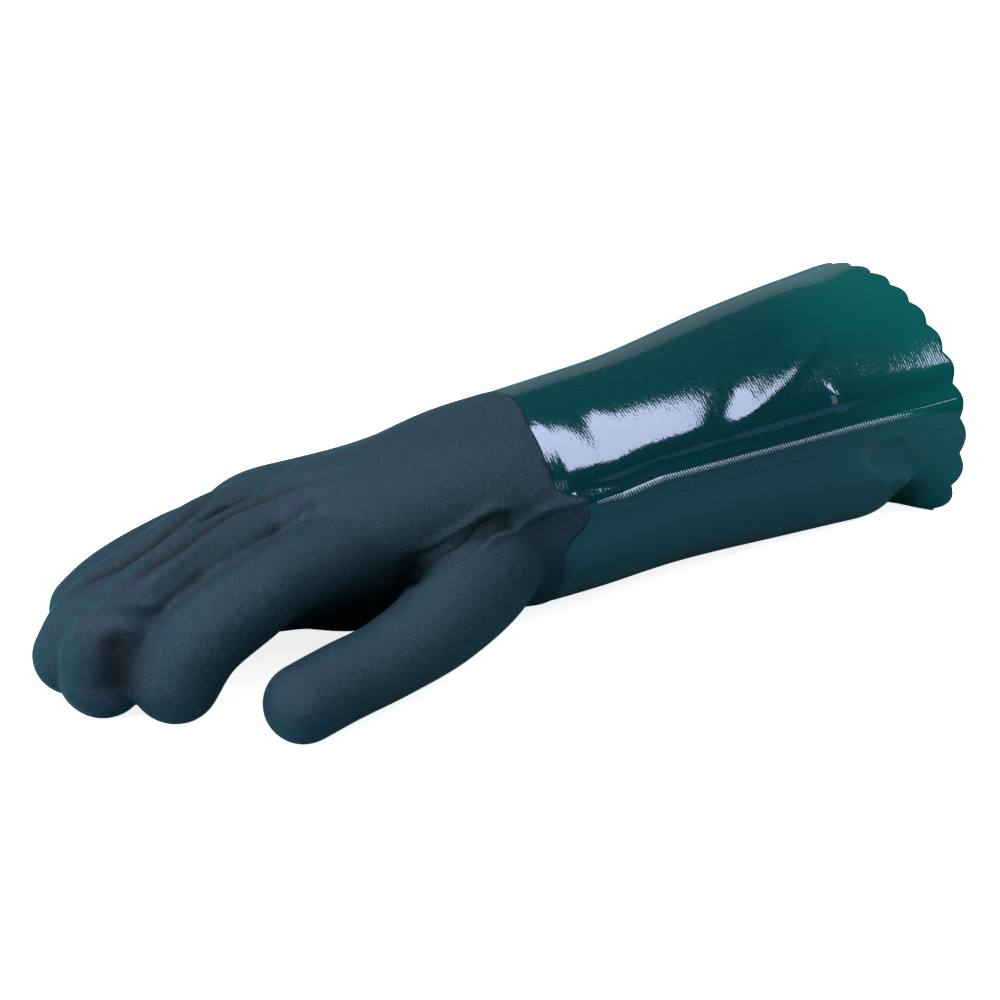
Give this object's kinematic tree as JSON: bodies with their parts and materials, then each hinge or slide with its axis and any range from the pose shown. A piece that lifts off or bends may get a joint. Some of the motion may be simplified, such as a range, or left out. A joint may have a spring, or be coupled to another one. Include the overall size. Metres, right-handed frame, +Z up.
{
  "type": "pvc coated gauntlet work glove",
  "caption": "Hollow right-hand work glove with curled fingers, a matte coated hand and a flared glossy gauntlet with a scalloped rim.",
  "frame": {"origin": "middle of the glove's bounding box, on the surface that it lies on", "axes": "+X from the fingertips to the mouth of the gauntlet, -Y towards the thumb, +Z up from the palm to the back of the hand"},
  "size_m": [0.3406, 0.128, 0.0859],
  "materials": {
    "matte_coat": "matte sandy dark blue-green PVC coat",
    "gloss_coat": "smooth glossy dark green PVC coat over jersey",
    "welt_coat": "glossy coat over a stitched seam"
  },
  "bodies": {
    "root": {"hand": "matte_coat", "cuff": "gloss_coat", "side_seam": "welt_coat"}
  },
  "joints": []
}
